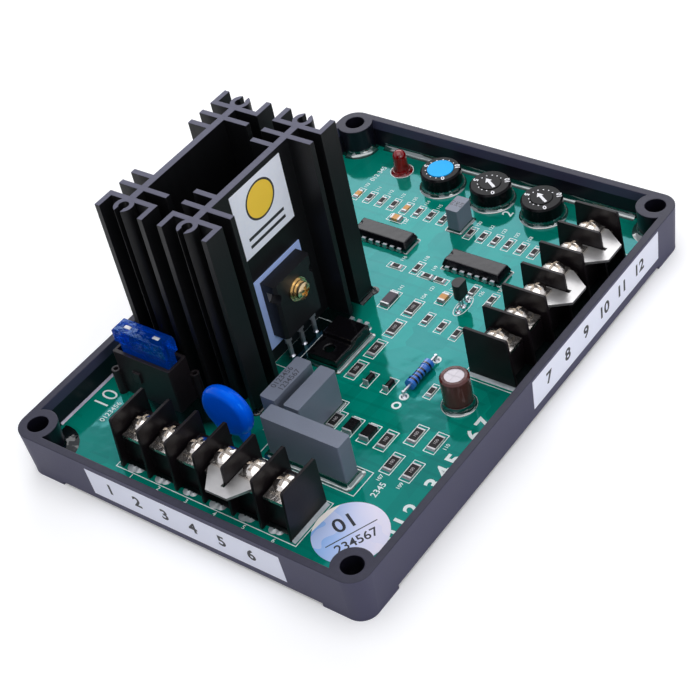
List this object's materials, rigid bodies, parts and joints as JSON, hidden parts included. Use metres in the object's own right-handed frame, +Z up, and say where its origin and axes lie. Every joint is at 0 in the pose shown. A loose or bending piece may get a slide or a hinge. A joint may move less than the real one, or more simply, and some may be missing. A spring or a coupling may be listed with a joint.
{
  "type": "automatic voltage regulator",
  "caption": "Open-frame generator voltage regulator: potted circuit board in a shallow tray with finned heatsinks, barrier terminals, blade fuse and dial trimmers.",
  "frame": {"origin": "middle of the footprint on the standing surface, at the underside of the corner feet", "axes": "+X along the front terminal block, away from the fuse; +Y from the front terminals to the trimmers; +Z up"},
  "size_m": [0.116, 0.157, 0.065],
  "materials": {
    "tray_plastic": "fine moulded texture, violet-black",
    "resin": "clear potting resin, wet gloss",
    "board": "green solder mask under a glossy resin film",
    "black_anodised": "black anodised extrusion, paler sawn ends",
    "steel": "plated",
    "silicone_pad": "pale blue, matt",
    "dark_moulding": "epoxy moulding",
    "tinned_lead": "tin plated",
    "brass": "plain turned",
    "black_plastic": "moulded, slightly glossy",
    "blue_clear_plastic": "translucent blue",
    "zinc": "stamped strip",
    "nickel": "nickel plated",
    "polished_nickel": "polished flat",
    "blue_epoxy": "dipped coating",
    "grey_plastic": "moulded box, satin",
    "bare_aluminium": "drawn can",
    "brown_sleeve": "shrunk sleeve",
    "gloss_black": "polished moulding",
    "blue_dial": "bright blue",
    "black_dial": "satin",
    "red_lens": "tinted lens",
    "blue_lacquer": "lacquered, with colour bands",
    "chip_black": "coated, with plated ends",
    "tan_ceramic": "matt",
    "grey_moulding": "epoxy moulding"
  },
  "bodies": {
    "regulator": {"tray": "tray_plastic", "potting_resin": "resin", "circuit_board": "board", "left_heatsink": "black_anodised", "right_heatsink": "black_anodised", "heatsink_screws": "steel", "left_insulating_pad": "silicone_pad", "right_insulating_pad": "silicone_pad", "left_power_device": "dark_moulding", "right_power_device": "dark_moulding", "left_device_leads": "tinned_lead", "right_device_leads": "tinned_lead", "left_device_screw": "brass", "right_device_screw": "brass", "fuse_holder": "black_plastic", "fuse_clips": "tinned_lead", "blade_fuse_body": "blue_clear_plastic", "blade_fuse_element": "zinc", "front_terminal_block": "black_plastic", "front_terminal_plates": "nickel", "front_terminal_washers": "nickel", "front_terminal_screws": "nickel", "front_jumper": "polished_nickel", "side_terminal_block": "black_plastic", "side_terminal_plates": "nickel", "side_terminal_washers": "nickel", "side_terminal_screws": "nickel", "side_jumpers": "polished_nickel", "varistor": "blue_epoxy", "varistor_leads": "tinned_lead", "large_film_capacitor": "grey_plastic", "inner_film_capacitor": "grey_plastic", "outer_film_capacitor": "grey_plastic", "small_film_capacitor": "grey_plastic", "electrolytic_can": "bare_aluminium", "electrolytic_sleeve": "brown_sleeve", "left_trimmer_body": "gloss_black", "middle_trimmer_body": "gloss_black", "right_trimmer_body": "gloss_black", "indicator_lamp": "red_lens", "left_logic_chip": "dark_moulding", "right_logic_chip": "dark_moulding", "left_chip_pins": "tinned_lead", "right_chip_pins": "tinned_lead", "small_transistor": "dark_moulding", "small_transistor_leads": "tinned_lead", "flat_transistor": "gloss_black", "flat_transistor_leads": "tinned_lead", "axial_resistor": "blue_lacquer", "axial_resistor_leads": "tinned_lead", "large_chip_resistors": "chip_black", "small_chip_resistors": "chip_black", "chip_capacitors": "tan_ceramic", "tantalum_capacitor": "grey_moulding", "chip_diodes": "dark_moulding"},
    "left_dial": {"left_trimmer_dial": "blue_dial"},
    "middle_dial": {"middle_trimmer_dial": "black_dial"},
    "right_dial": {"right_trimmer_dial": "black_dial"}
  },
  "joints": [
    {"name": "left_dial_turn", "type": "hinge", "parent": "regulator", "child": "left_dial", "pos_m": [-0.0165, 0.0667, 0.0115], "axis": [0, 0, 1], "range_deg": [-110, 160]},
    {"name": "middle_dial_turn", "type": "hinge", "parent": "regulator", "child": "middle_dial", "pos_m": [0.0012, 0.0667, 0.0115], "axis": [0, 0, 1], "range_deg": [-110, 160]},
    {"name": "right_dial_turn", "type": "hinge", "parent": "regulator", "child": "right_dial", "pos_m": [0.0189, 0.0667, 0.0115], "axis": [0, 0, 1], "range_deg": [-110, 160]}
  ]
}
